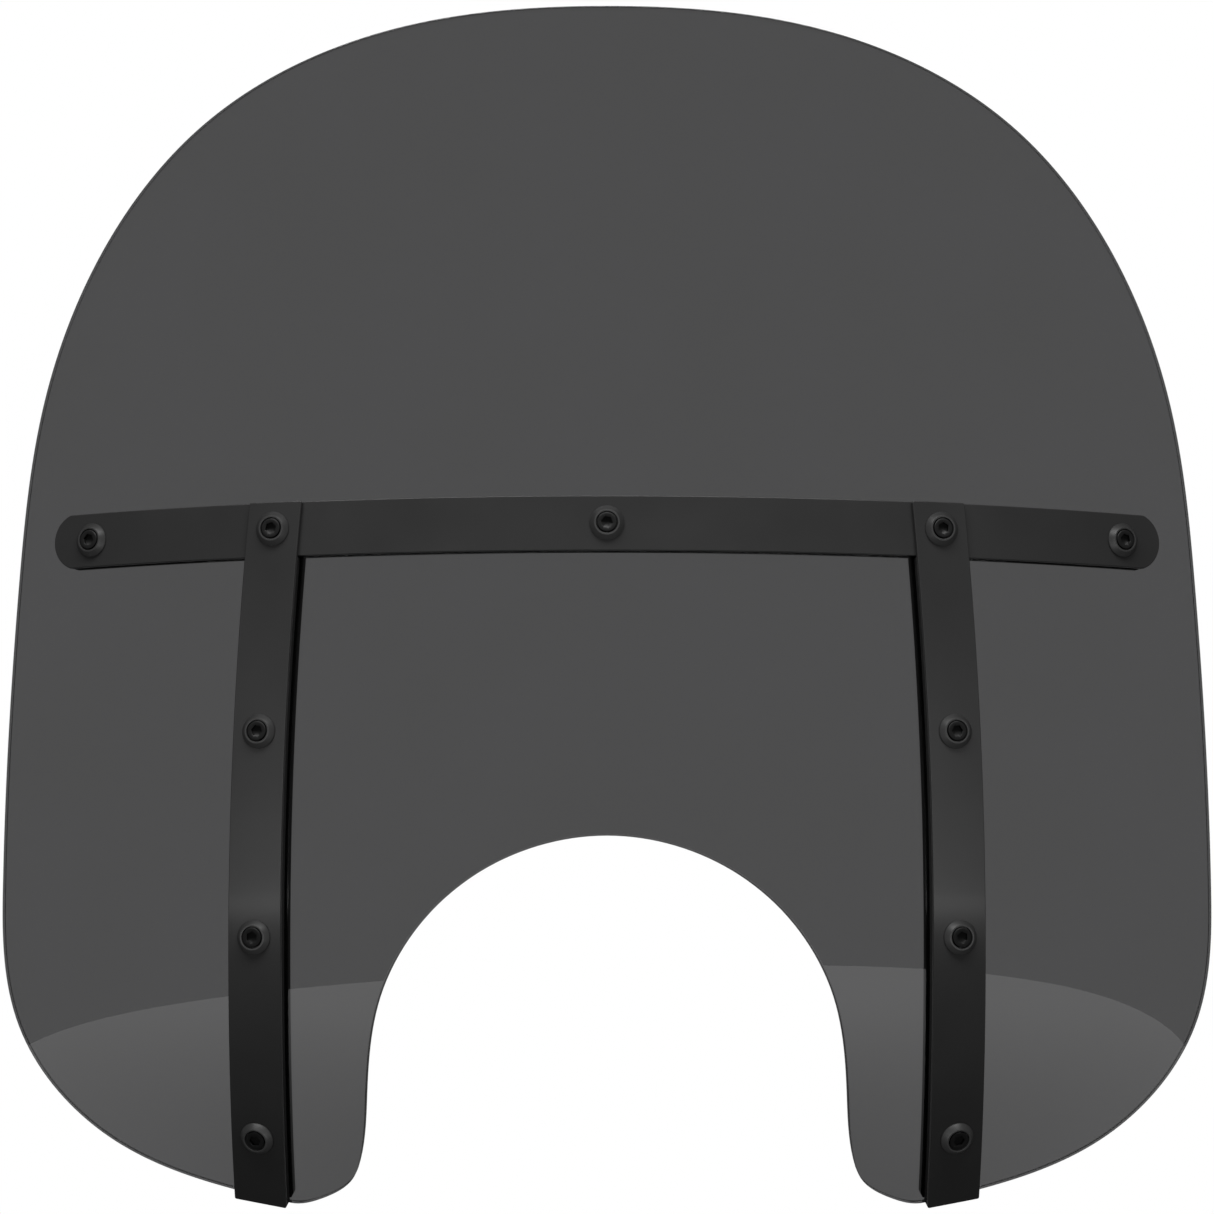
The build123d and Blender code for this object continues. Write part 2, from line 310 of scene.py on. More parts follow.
# %% Black coats
def black_coat(name, colour, roughness, grain, depth):
    """A black coating with a fine skin. Grain is the size of its bumps in metres."""
    made = bpy.data.materials.new(name)
    made.use_nodes = True
    tree = made.node_tree
    shader = tree.nodes["Principled BSDF"]
    shader.inputs["IOR"].default_value = 1.5
    shader.inputs["Specular IOR Level"].default_value = 0.3
    spot = add(tree, "ShaderNodeTexCoord").outputs["Object"]
    peel = add(tree, "ShaderNodeTexNoise", {"Vector": spot, "Scale": 1 / grain, "Detail": 3})
    bump = add(tree, "ShaderNodeBump",
               {"Height": peel.outputs["Fac"], "Strength": 0.35, "Distance": depth})
    tree.links.new(bump.outputs["Normal"], shader.inputs["Normal"])
    # Film thickness drifts over a few centimetres and changes gloss and shade a little.
    drift = add(tree, "ShaderNodeTexNoise", {"Vector": spot, "Scale": 25, "Detail": 2})
    rough = add(tree, "ShaderNodeMapRange",
                {"Value": drift.outputs["Fac"],
                 "To Min": roughness - 0.04, "To Max": roughness + 0.04})
    tree.links.new(rough.outputs["Result"], shader.inputs["Roughness"])
    shade = add(tree, "ShaderNodeHueSaturation", {"Color": linear(colour)})
    value = add(tree, "ShaderNodeMapRange",
                {"Value": drift.outputs["Fac"], "To Min": 0.85, "To Max": 1.15})
    tree.links.new(value.outputs["Result"], shade.inputs["Value"])
    tree.links.new(shade.outputs["Color"], shader.inputs["Base Color"])
    return made


powder_coat = black_coat("satin_black_powder_coat", "#2c2c2c", 0.25, 0.9 * mm, 0.02 * mm)
black_plate = black_coat("black_zinc_plate", "#292929", 0.42, 0.5 * mm, 0.01 * mm)
black_oxide = black_coat("black_oxide_steel", "#1a1a1a", 0.42, 0.4 * mm, 0.01 * mm)
nut_plate = black_coat("satin_black_nut_plate", "#1d1d1d", 0.38, 0.5 * mm, 0.01 * mm)
vinyl_tape = black_coat("matt_vinyl_tape", "#101010", 0.85, 0.6 * mm, 0.05 * mm)
foam_tape = black_coat("closed_cell_foam_tape", "#0c0c0c", 0.95, 0.5 * mm, 0.2 * mm)
coats = (powder_coat, black_plate, black_oxide, nut_plate, vinyl_tape, foam_tape)
print("made", [m.name for m in coats])

# %% [markdown]
# ## Cutting a flat blank
#
# The real bars and screen start flat. So does each one here: an outline is filled and
# given a thickness and a rounded edge as a flat curve, holes included. Then it is
# sliced into a fine grid, because only a mesh with enough edges can be bent smoothly.

# %% Flat blanks
def loop_length(points):
    return sum((Vector(a) - Vector(b)).length for a, b in zip(points, points[1:] + points[:1]))


def circle(centre, radius, count=32):
    return [(centre[0] + radius * cos(tau * i / count), centre[1] + radius * sin(tau * i / count))
            for i in range(count)]


def flat_blank(name, outline, holes, thickness, edge, step_x, step_y):
    """A flat sheet centred on z = 0 with rounded edges, sliced every step along x and y."""
    curve = bpy.data.curves.new(name, "CURVE")
    curve.dimensions = "2D"
    curve.fill_mode = "BOTH"
    curve.extrude = thickness / 2 - edge
    curve.bevel_depth = edge
    curve.bevel_resolution = 2
    curve.offset = -edge
    for loop in [outline] + holes:
        spline = curve.splines.new("POLY")
        spline.points.add(len(loop) - 1)
        for point, (x, y) in zip(spline.points, loop):
            point.co = (x, y, 0, 1)
        spline.use_cyclic_u = True
    holder = bpy.data.objects.new(name, curve)
    bpy.context.scene.collection.objects.link(holder)
    view = bpy.context.evaluated_depsgraph_get()
    mesh = bpy.data.meshes.new_from_object(holder.evaluated_get(view))
    bpy.data.objects.remove(holder)
    sheet = bmesh.new()
    sheet.from_mesh(mesh)
    bmesh.ops.remove_doubles(sheet, verts=sheet.verts, dist=1e-6)
    bmesh.ops.dissolve_limit(sheet, angle_limit=0.0005, verts=sheet.verts, edges=sheet.edges)
    for axis, step in ((0, step_x), (1, step_y)):
        lowest = min(v.co[axis] for v in sheet.verts)
        highest = max(v.co[axis] for v in sheet.verts)
        for i in range(int(lowest // step) + 1, int(highest // step) + 1):
            at, across = Vector((0, 0, 0)), Vector((0, 0, 0))
            at[axis], across[axis] = i * step, 1
            everything = sheet.verts[:] + sheet.edges[:] + sheet.faces[:]
            bmesh.ops.bisect_plane(sheet, geom=everything, dist=1e-6, plane_co=at, plane_no=across)
    bmesh.ops.recalc_face_normals(sheet, faces=sheet.faces)
    sheet.to_mesh(mesh)
    sheet.free()
    return mesh


# %% [markdown]
# ## Bending with Geometry Nodes
#
# All the flat pieces follow one rule, so one node tree bends them all. It reads a flat
# point as three lengths: sideways round the tube, up along the screen, and out from
# its front face. The sideways length turns into an angle round the tube, and what
# hangs below the bend turns into an angle round the curl.

# %% The bending tree
def bending_tree():
    tree = bpy.data.node_groups.new("bend_round_tube_and_curl", "GeometryNodeTree")
    face = tree.interface
    face.new_socket("Geometry", in_out="INPUT", socket_type="NodeSocketGeometry")
    for name in ("Tube Radius", "Bend Start", "Bend Radius"):
        face.new_socket(name, in_out="INPUT", socket_type="NodeSocketFloat")
    face.new_socket("Finish", in_out="INPUT", socket_type="NodeSocketMaterial")
    face.new_socket("Geometry", in_out="OUTPUT", socket_type="NodeSocketGeometry")
    given = add(tree, "NodeGroupInput").outputs
    tube, start, swing = given["Tube Radius"], given["Bend Start"], given["Bend Radius"]

    def math(operation, first, second=0.0):
        return add(tree, "ShaderNodeMath", {0: first, 1: second}, operation=operation).outputs[0]

    position = add(tree, "GeometryNodeInputPosition").outputs[0]
    flat = add(tree, "ShaderNodeSeparateXYZ", {0: position})
    side, up, out = flat.outputs
    azimuth = math("DIVIDE", side, tube)
    face_radius = math("ADD", tube, out)
    x = math("MULTIPLY", face_radius, math("SINE", azimuth))
    ahead = math("COSINE", azimuth)
    axis_gap = math("SUBTRACT", swing, tube)
    arm = math("ADD", math("MULTIPLY", face_radius, ahead), axis_gap)
    face_arm = math("ADD", math("MULTIPLY", tube, ahead), axis_gap)
    below = math("SUBTRACT", math("MULTIPLY", up, -1.0), start)
    angle = math("DIVIDE", math("MAXIMUM", below, 0.0), face_arm)
    y = math("SUBTRACT", swing, math("MULTIPLY", arm, math("COSINE", angle)))
    level = math("MAXIMUM", up, math("MULTIPLY", start, -1.0))
    z = math("SUBTRACT", level, math("MULTIPLY", arm, math("SINE", angle)))
    bent = add(tree, "ShaderNodeCombineXYZ", {0: x, 1: y, 2: z})
    moved = add(tree, "GeometryNodeSetPosition", {"Geometry": given["Geometry"],
                                                  "Position": bent.outputs[0]})
    real = add(tree, "GeometryNodeRealizeInstances", {"Geometry": moved.outputs[0]})
    done = add(tree, "GeometryNodeSetMaterial", {"Geometry": real.outputs[0],
                                                 "Material": given["Finish"]})
    add(tree, "NodeGroupOutput", {"Geometry": done.outputs[0]})
    return tree


bending = bending_tree()
print("the bending tree has", len(bending.nodes), "nodes")

# %% [markdown]
# A bent sheet shades cleanly only if its normals are bent with it. The flat sheet's
# normals are known exactly: straight out on its faces and turning round its edges. So
# they are carried through the same bend and set on the finished mesh.

# %% Bending a blank into a piece
def bend_normals(points, normals):
    """Carries flat normals at flat points through the bend."""
    azimuth = points[:, 0] / tube_radius
    arm = bend_radius - tube_radius + tube_radius * np.cos(azimuth)
    angle = np.maximum(-points[:, 1] - bend_start, 0) / arm
    sine, cosine = np.sin(azimuth), np.cos(azimuth)
    out = np.stack([sine, -cosine * np.cos(angle), -cosine * np.sin(angle)], 1)
    across = np.stack([cosine, sine * np.cos(angle), sine * np.sin(angle)], 1)
    up = np.stack([0 * angle, -np.sin(angle), np.cos(angle)], 1)
    return normals[:, :1] * across + normals[:, 1:2] * up + normals[:, 2:] * out


def set_input(modifier, name, value):
    """Sets a tree's named input by its socket's identifier."""
    items = modifier.node_group.interface.items_tree
    modifier[next(i.identifier for i in items if i.name == name and i.in_out == "INPUT")] = value


def finished(name, holder, material, nodes):
    """Turns a holder with modifiers into a plain piece that rides on the model."""
    view = bpy.context.evaluated_depsgraph_get()
    mesh = bpy.data.meshes.new_from_object(holder.evaluated_get(view))
    holder.modifiers.clear()
    bpy.data.objects.remove(holder)
    mesh.name = name
    piece = bpy.data.objects.new(name, mesh)
    bpy.context.scene.collection.objects.link(piece)
    mesh.materials.clear()
    mesh.materials.append(material)
    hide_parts(*nodes)
    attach(piece, "root")
    return piece


def bent_piece(name, blank, out, material, node):
    """Bends a flat blank, lying at a distance out from the front face, into a piece."""
    count = len(blank.vertices)
    points, normals = np.zeros(count * 3), np.zeros(count * 3, np.float32)
    blank.vertices.foreach_get("co", points)
    points = points.reshape(-1, 3)
    blank.vertex_normals.foreach_get("vector", normals)
    normals = normals.reshape(-1, 3).astype(float)
    half = points[:, 2].max()
    for side in (1, -1):
        normals[np.abs(points[:, 2] - side * half) < 1e-6] = (0, 0, side)
    points[:, 2] += out
    blank.vertices.foreach_set("co", points.ravel())
    holder = bpy.data.objects.new(name + "_blank", blank)
    bpy.context.scene.collection.objects.link(holder)
    modifier = holder.modifiers.new("bend", "NODES")
    modifier.node_group = bending
    set_input(modifier, "Tube Radius", tube_radius)
    set_input(modifier, "Bend Start", bend_start)
    set_input(modifier, "Bend Radius", bend_radius)
    set_input(modifier, "Finish", material)
    piece = finished(name, holder, material, [node])
    piece.data.transform(stand)
    bent = bend_normals(points, normals) @ np.array(stand.to_3x3()).T
    bent /= np.linalg.norm(bent, axis=1)[:, None]
    piece.data.shade_smooth()
    piece.data.normals_split_custom_set_from_vertices(bent.tolist())
    print(name, "has", len(piece.data.polygons), "faces")
    return piece


# %% [markdown]
# ## The screen's outline
#
# Seen from the front, the edge is four smooth curves on each side: the crown, the ear,
# the foot's inner corner and the headlight arch. Each runs through a few points with a
# set direction at its ends, as a flexible ruler would. The outline is then laid flat:
# the distance from the middle becomes a length round the tube or the curl.

# %% The outline, seen from the front
def ruler(points, start, end, step=4 * mm):
    """A smooth curve through points, with set directions at its ends, cut into short steps."""
    points = np.array(points, float)
    span = np.linalg.norm(np.diff(points, axis=0), axis=1)
    count = len(points)
    system, target = np.zeros((count, count)), np.zeros((count, 2))
    system[0, 0] = system[-1, -1] = 1
    target[0] = np.array(start) / np.linalg.norm(start)
    target[-1] = np.array(end) / np.linalg.norm(end)
    for i in range(1, count - 1):
        before, after = span[i - 1], span[i]
        system[i, i - 1:i + 2] = after, 2 * (before + after), before
        target[i] = 3 * (after / before * (points[i] - points[i - 1])
                         + before / after * (points[i + 1] - points[i]))
    slope = np.linalg.solve(system, target)
    line = []
    for i in range(count - 1):
        pieces = max(1, round(span[i] / step))
        for t in np.arange(pieces) / pieces:
            h = (2 * t**3 - 3 * t**2 + 1, t**3 - 2 * t**2 + t, 3 * t**2 - 2 * t**3, t**3 - t**2)
            line.append(h[0] * points[i] + h[1] * span[i] * slope[i]
                        + h[2] * points[i + 1] + h[3] * span[i] * slope[i + 1])
    return [tuple(p) for p in line]


def laid_flat(x, z):
    """A point seen from the front, as lengths round the tube and along the screen."""
    side = tube_radius * asin(x / tube_radius)
    if z >= -bend_start:
        return side, z
    return side, -bend_start - bend_angle_at(x, -z) * (bend_radius - depth_at(x))


w, t, f, c = half_width, crown_height, foot_depth, cutout_half_width
drop = f - cutout_depth
widest = (w, -0.96 * bend_start)
foot = (c + foot_corner_gap, -f)
corner = (c + 0.135 * foot_corner_gap, -f + 0.088 * drop)
crown = [(0, t), (0.384 * w, 0.956 * t), (0.68 * w, 0.7925 * t), (0.841 * w, 0.573 * t),
         (0.941 * w, 0.287 * t), (0.981 * w, -0.065 * t), widest]
ear = [widest, (0.972 * w, -0.735 * f), (0.824 * w, -0.9 * f), (0.607 * w, -0.981 * f), foot]
inner = [foot, (c + 0.57 * foot_corner_gap, -f + 0.014 * drop), corner]
arch = [corner, (c, -f + 0.3 * drop), (0.94 * c, -f + 0.56 * drop),
        (0.819 * c, -f + 0.72 * drop), (0.579 * c, -f + 0.88 * drop), (0, -cutout_depth)]
right = ruler(crown, (1, 0), (0, -1)) + ruler(ear, (0, -1), (-1, -0.2))
right += ruler(inner, (-1, -0.2), (-0.35, 1), 2 * mm) + ruler(arch, (-0.35, 1), (-1, 0))
seen = right + [(0, -cutout_depth)] + [(-x, z) for x, z in reversed(right[1:])]
outline = [laid_flat(x, z) for x, z in seen]
print("outline points:", len(outline), "and length in mm:", round(loop_length(outline) / mm))

# %% [markdown]
# ## The screen
#
# The flat sheet is cut, its edge polished round, and eleven holes are drilled where the
# screws pass. Then it takes the bend.

# %% The screen
def flat_on_post(run, across):
    """A point of a post's strip as lengths round the tube and along the screen."""
    side = tube_radius * (post_azimuth + asin((sweep_at(run) + across) / tube_radius))
    if run <= bend_start:
        return side, -run
    arm = bend_radius - tube_radius + tube_radius * cos(side / tube_radius)
    return side, -bend_start - (run - bend_start) / post_bend_radius * arm


post_spots = [flat_on_post(i * post_hole_pitch, 0) for i in range(4)]
crossbar_spots = [(0, 0), (crossbar_hole, 0), (-crossbar_hole, 0), post_spots[0],
                  (-post_spots[0][0], post_spots[0][1])]
all_spots = crossbar_spots + [(s * x, y) for x, y in post_spots[1:] for s in (1, -1)]
panel_hole_radius = 5 * mm
panel_edge = 0.5 * mm
grid_step = 8 * mm
sheet = flat_blank("screen_blank", outline, [circle(p, panel_hole_radius) for p in all_spots],
                   panel_thickness, panel_edge, grid_step, grid_step)
screen = bent_piece("screen", sheet, -panel_thickness / 2, acrylic,
                    "windshield_panel")

# %% [markdown]
# ## The crossbars
#
# Each is a level flat bar with rounded ends. The edge radius is small, as on bar that
# was cut, tumbled and coated, and it is what draws a fine bright line along each bar.

# %% Crossbars and the tape under them
def crossbar_outline():
    """A bar with round ends, in flat lengths."""
    middle = crossbar_half_length - crossbar_end_radius
    spread = asin(half_bar / crossbar_end_radius)
    end = [(middle + crossbar_end_radius * cos(a), crossbar_end_radius * sin(a))
           for a in np.linspace(-spread, spread, 25)]
    return end + [(-x, -y) for x, y in end]


def crossbar_piece(name, low, high, edge, hole, material, node):
    blank = flat_blank(name, crossbar_outline(), [circle(p, hole) for p in crossbar_spots],
                       high - low, edge, grid_step, bar_width)
    return bent_piece(name, blank, (low + high) / 2, material, node)


bar_edge = 0.45 * mm
tape_edge = 0.1 * mm
crossbar_piece("crossbar_front", tape_thickness, bar_front, bar_edge, bar_hole_radius,
               powder_coat, "front_crossbar")
crossbar_piece("crossbar_rear", bar_rear, tape_rear, bar_edge, bar_hole_radius,
               powder_coat, "rear_crossbar")
crossbar_piece("tape_crossbar_front", 0, tape_thickness, tape_edge, panel_hole_radius,
               vinyl_tape, "front_crossbar_tape")
crossbar_piece("tape_crossbar_rear", tape_rear, -panel_thickness, tape_edge, panel_hole_radius,
               vinyl_tape, "rear_crossbar_tape")

# %% [markdown]
# ## The posts
#
# A post is flat bar too, swept in by a few millimetres towards its top. It passes over
# the crossbar, so below the crossbar a thick foam tape fills the space between the post
# and the screen. The tape is what shows as a black line along the post's side. The left
# post is the right one mirrored while still flat.

# %% Posts and the tape under them
def post_outline(side, top, foot):
    """A post's strip in flat lengths, between two runs, with slightly rounded corners."""
    nick = 0.8 * mm
    cut = 0.29 * nick  # how far in from both sides the middle of a round corner lies
    runs = list(np.linspace(top + nick, foot - nick, 60))
    near = [(top, -half_bar + nick), (top + cut, -half_bar + cut)]
    near += [(run, -half_bar) for run in runs]
    near += [(foot - cut, -half_bar + cut), (foot, -half_bar + nick)]
    strip = near + [(run, -across) for run, across in reversed(near)]
    return [(side * x, y) for x, y in (flat_on_post(run, across) for run, across in strip)]


def post_piece(name, side, low, high, edge, hole, material, node, top=-half_bar):
    holes = [circle((side * x, y), hole) for x, y in post_spots if -y > top]
    blank = flat_blank(name, post_outline(side, top, post_run), holes,
                       high - low, edge, bar_width / 5, grid_step)
    return bent_piece(name, blank, (low + high) / 2, material, node)


foam_edge = 0.3 * mm
for word, side in (("right", 1), ("left", -1)):
    post_piece("post_front_" + word, side, bar_front, junction_front, bar_edge, bar_hole_radius,
               powder_coat, "front_post_" + word)
    post_piece("post_rear_" + word, side, junction_rear, bar_rear, bar_edge, bar_hole_radius,
               powder_coat, "rear_post_" + word)
    post_piece("tape_post_front_" + word, side, 0, bar_front, foam_edge, panel_hole_radius,
               foam_tape, "front_post_tape_" + word, post_tape_top)
    post_piece("tape_post_rear_" + word, side, bar_rear, -panel_thickness, foam_edge,
               panel_hole_radius, foam_tape, "rear_post_tape_" + word, post_tape_top)

# %% [markdown]
# ## Turned parts
#
# Screws, nuts and washers are stacks of rings along one axis. A ring is a circle, a
# hexagon, or whatever a function of the angle says, which is how a nut's flats and a
# screw's thread are made without cutting anything away.

# %% Rings
spokes = 48


def hexagon(flats, limit=1.0):
    """The edge of a hexagon by angle, cut back to a circle of the limit's radius."""
    return lambda a: min(flats / 2 / cos((a + pi / 6) % (pi / 3) - pi / 6), limit)


def stacked(name, rings, hollow=False):
    """A closed mesh from rings of (radius or function of angle, height).

    A hollow one joins its last ring to its first. Any other has a point at each end.
    """
    made = bmesh.new()
    loops = []
    for radius, height in rings:
        loop = []
        for i in range(spokes):
            a = tau * i / spokes
            r = radius(a) if callable(radius) else radius
            loop.append(made.verts.new((r * cos(a), r * sin(a), height)))
        loops.append(loop)
    pairs = list(zip(loops, loops[1:])) + ([(loops[-1], loops[0])] if hollow else [])
    for lower, upper in pairs:
        for i in range(spokes):
            j = (i + 1) % spokes
            made.faces.new((lower[i], lower[j], upper[j], upper[i]))
    if not hollow:
        for loop, height in ((loops[0], rings[0][1]), (loops[-1], rings[-1][1])):
            pole = made.verts.new((0, 0, height))
            for i in range(spokes):
                made.faces.new((loop[i], loop[(i + 1) % spokes], pole))
    bmesh.ops.recalc_face_normals(made, faces=made.faces)
    mesh = bpy.data.meshes.new(name)
    made.to_mesh(mesh)
    made.free()
    mesh.shade_smooth()
    mesh.set_sharp_from_angle(angle=radians(38))
    return mesh


def rounded(radius, height, size, quarter):
    """Rings round an outer edge. Quarter 0 is its lower edge and quarter 1 its upper one."""
    steps = [quarter * pi / 2 - pi / 2 + pi / 8 * i for i in range(5)]
    middle = height + size if quarter == 0 else height - size
    return [(radius - size + size * cos(a), middle + size * sin(a)) for a in steps]


print("each ring has", spokes, "points")

# %% [markdown]
# ## The cup washer
#
# A bevelled cup stands round each screw head. It has a low rim, a wide bevel that
# catches the light, a narrow lip, and a dark gap between the lip and the head.

# %% Cup washer
cup_height = 3 * mm
cup_floor = 0.6 * mm
cup_pocket = 5.1 * mm
cup = [(bar_hole_radius, 0)]
cup += rounded(washer_radius, 0, 0.15 * mm, 0)
cup += [(washer_radius, 0.7 * mm), (washer_radius - 0.06 * mm, 0.82 * mm)]
cup += [(5.98 * mm, 2.9 * mm), (5.92 * mm, 2.96 * mm), (5.82 * mm, cup_height)]
cup += [(5.24 * mm, cup_height), (5.14 * mm, 2.96 * mm), (cup_pocket, 2.86 * mm)]
cup += [(cup_pocket, cup_floor), (bar_hole_radius, cup_floor)]
cup_washer = stacked("cup_washer", cup, hollow=True)
print("a cup washer has", len(cup_washer.polygons), "faces")

# %% [markdown]
# ## The screws
#
# The head is low and flat with a hexagon socket. The socket's mouth is a shallow cone.
# Below it come the shank and a 1/4-20 thread, with 1.27 mm from turn to turn. The
# thread is a ripple in the radius that climbs as it goes round. Seven screws end in cap
# nuts. The other four are longer and stick out behind a thin nut.

# %% Screws
pitch = 1.27 * mm
thread_depth = 0.6 * mm
relief_depth = 0.5 * mm
tip_chamfer = 0.6 * mm
socket_flats = 4.76 * mm


def thread(height, fade):
    """The radius of a thread by angle at a height. Fade, from 0 to 1, shrinks it to its root."""
    def radius(a):
        turn = (height / pitch - a / tau) % 1
        ridge = min(1, max(0, 1.35 - 2.9 * abs(turn - 0.5)))
        return screw_radius - thread_depth * (1 - ridge * (1 - fade))
    return radius


def screw(name, nut_seat, tip, groove=None):
    """A socket screw. Heights are measured up from its cup washer's seat."""
    head, head_radius = cup_height, 4.5 * mm
    socket = hexagon(socket_flats)
    rings = [(0.3 * mm, head - 2.1 * mm), (lambda a: 0.9 * socket(a), head - 1.85 * mm),
             (socket, head - 1.7 * mm), (socket, head - 0.14 * mm), (2.8 * mm, head)]
    rings += list(reversed(rounded(head_radius, head, 0.35 * mm, 1)))
    rings += [(head_radius, cup_floor + 0.1 * mm), (head_radius - 0.1 * mm, cup_floor),
              (screw_radius, cup_floor)]
    start = nut_seat + 2 * mm  # the thread starts a little in front of the nut
    rings.append((screw_radius, start))
    height = start - pitch / 10
    while height > tip + tip_chamfer:
        grooved = groove is not None and groove[0] < height < groove[1]
        rings.append((screw_radius - relief_depth if grooved else thread(height, 0), height))
        height -= pitch / 10
    rings += [(thread(tip + tip_chamfer, 0.2), tip + tip_chamfer), (2.5 * mm, tip)]
    return stacked(name, rings)


print("a socket is", round(socket_flats / mm, 2), "mm across its flats")

# %% [markdown]
# ## Nuts and rear washers
#
# A nut's corners are turned off on a lathe, which leaves the curved line where flat
# meets chamfer. Cutting the hexagon's ring back to a circle that shrinks with height
# draws exactly that line. The cap nut ends in a dome.

# %% Nuts and washers
nut_flats = 11.1 * mm
nut_corner = nut_flats / sqrt(3)


def chamfered(low, high, direction):
    """Rings of a hexagon between two heights. Its corners are turned off at the far end."""
    steps = [(high - 1.1 * mm * direction, nut_corner + 0.01 * mm)]
    steps += [(high - 0.9 * mm * direction * (1 - i / 5), nut_corner - 0.16 * mm * i)
              for i in range(1, 6)]
    rings = [(hexagon(nut_flats, nut_corner - 0.12 * mm), low)]
    rings += [(hexagon(nut_flats, 1), low + 0.15 * mm * direction)]
    return rings + [(hexagon(nut_flats, limit), height) for height, limit in steps]


def cap_nut():
    """A domed nut behind its seat, which is at zero. It reaches down."""
    hexed, dome = 5.6 * mm, 5.1 * mm
    rings = [(screw_radius, -8 * mm), (screw_radius, -0.3 * mm), (screw_radius + 0.3 * mm, 0)]
    rings += chamfered(0, -hexed, -1) + [(dome + 0.12 * mm, -hexed), (dome, -hexed - 0.05 * mm)]
    middle = -hexed - 0.1 * mm
    rise = cap_nut_height + middle
    for i in range(12):
        a = pi / 2 * i / 12
        rings.append((dome * cos(a), middle - rise * sin(a)))
    return stacked("cap_nut", rings)


def thin_nut():
    """An open nut behind its seat."""
    end = -thin_nut_height
    rings = [(screw_radius, -0.3 * mm), (screw_radius + 0.3 * mm, 0)]
    rings += chamfered(0, end, -1)
    rings += [(screw_radius + 0.35 * mm, end), (screw_radius, end + 0.35 * mm)]
    return stacked("thin_nut", rings, hollow=True)


def rear_washer():
    """A plain washer behind its seat."""
    edge = 0.2 * mm
    rings = [(bar_hole_radius, -washer_thickness)]
    rings += rounded(washer_radius, -washer_thickness, edge, 0)
    rings += rounded(washer_radius, 0, edge, 1) + [(bar_hole_radius, 0)]
    return stacked("rear_washer", rings, hollow=True)


print("a nut is", round(nut_flats / mm, 1), "mm across its flats")

# %% [markdown]
# ## Setting the fasteners with Geometry Nodes
#
# Each kind of fastener is made once and then set at its places. A place is a single
# point that carries the direction of its axis and how far the part was turned when it
# was tightened. The tree puts an instance on each point, turns it, and makes it real.

# %% The fastening tree
def fastening_tree():
    tree = bpy.data.node_groups.new("set_fasteners", "GeometryNodeTree")
    face = tree.interface
    face.new_socket("Geometry", in_out="INPUT", socket_type="NodeSocketGeometry")
    face.new_socket("Part", in_out="INPUT", socket_type="NodeSocketObject")
    face.new_socket("Size", in_out="INPUT", socket_type="NodeSocketFloat")
    face.new_socket("Finish", in_out="INPUT", socket_type="NodeSocketMaterial")
    face.new_socket("Geometry", in_out="OUTPUT", socket_type="NodeSocketGeometry")
    given = add(tree, "NodeGroupInput").outputs
    part = add(tree, "GeometryNodeObjectInfo", {"Object": given["Part"]},
               transform_space="ORIGINAL")
    axis = add(tree, "GeometryNodeInputNamedAttribute", {"Name": "axis"}, data_type="FLOAT_VECTOR")
    turn = add(tree, "GeometryNodeInputNamedAttribute", {"Name": "turn"}, data_type="FLOAT")
    facing = add(tree, "FunctionNodeAlignRotationToVector", {"Vector": axis.outputs[0]}, axis="Z")
    about = add(tree, "ShaderNodeCombineXYZ", {2: turn.outputs[0]})
    twist = add(tree, "FunctionNodeEulerToRotation", {0: about.outputs[0]})
    turned = add(tree, "FunctionNodeRotateRotation",
                 {0: facing.outputs[0], 1: twist.outputs[0]}, rotation_space="LOCAL")
    placed = add(tree, "GeometryNodeInstanceOnPoints",
                 {"Points": given["Geometry"], "Instance": part.outputs["Geometry"],
                  "Rotation": turned.outputs[0], "Scale": given["Size"]})
    real = add(tree, "GeometryNodeRealizeInstances", {"Geometry": placed.outputs[0]})
    done = add(tree, "GeometryNodeSetMaterial", {"Geometry": real.outputs[0],
                                                 "Material": given["Finish"]})
    add(tree, "NodeGroupOutput", {"Geometry": done.outputs[0]})
    return tree


fastening = fastening_tree()
print("the fastening tree has", len(fastening.nodes), "nodes")


def fasteners(name, part, places, material, prefix, nodes=None):
    """Sets one part at several places. A place is (node ending, matrix, turn)."""
    points = bpy.data.meshes.new(name + "_points")
    points.from_pydata([stand @ m.translation for _, m, _ in places], [], [])
    points.attributes.new("axis", "FLOAT_VECTOR", "POINT")
    points.attributes.new("turn", "FLOAT", "POINT")
    for i, (_, matrix, angle) in enumerate(places):
        points.attributes["axis"].data[i].vector = (stand @ matrix).to_3x3() @ Vector((0, 0, 1))
        points.attributes["turn"].data[i].value = angle
    holder = bpy.data.objects.new(name + "_points", points)
    sample = bpy.data.objects.new(name + "_part", part)
    bpy.context.scene.collection.objects.link(holder)
    modifier = holder.modifiers.new("fasten", "NODES")
    modifier.node_group = fastening
    set_input(modifier, "Part", sample)
    set_input(modifier, "Size", 1.0)
    set_input(modifier, "Finish", material)
    piece = finished(name, holder, material, nodes or [prefix + n for n, _, _ in places])
    bpy.data.objects.remove(sample)
    print(name, "stands for", len(places), "parts,", len(piece.data.polygons), "faces")
    return piece


# %% [markdown]
# ## Where the eleven screws are
#
# One screw sits in the middle of the crossbar, one near each end, and four down each
# post, the first of them where post and crossbar cross. The last two on each post are
# the bracket studs. The parts are tightened at odd angles, so the turn differs from
# one to the next by a fixed step.

# %% Places of the fasteners
def mirrored(matrix):
    """The same place on the left side."""
    flip = Matrix.Diagonal((-1, 1, 1, 1))
    return flip @ matrix @ flip


def lifted(matrix, out):
    return matrix @ Matrix.Translation((0, 0, out))


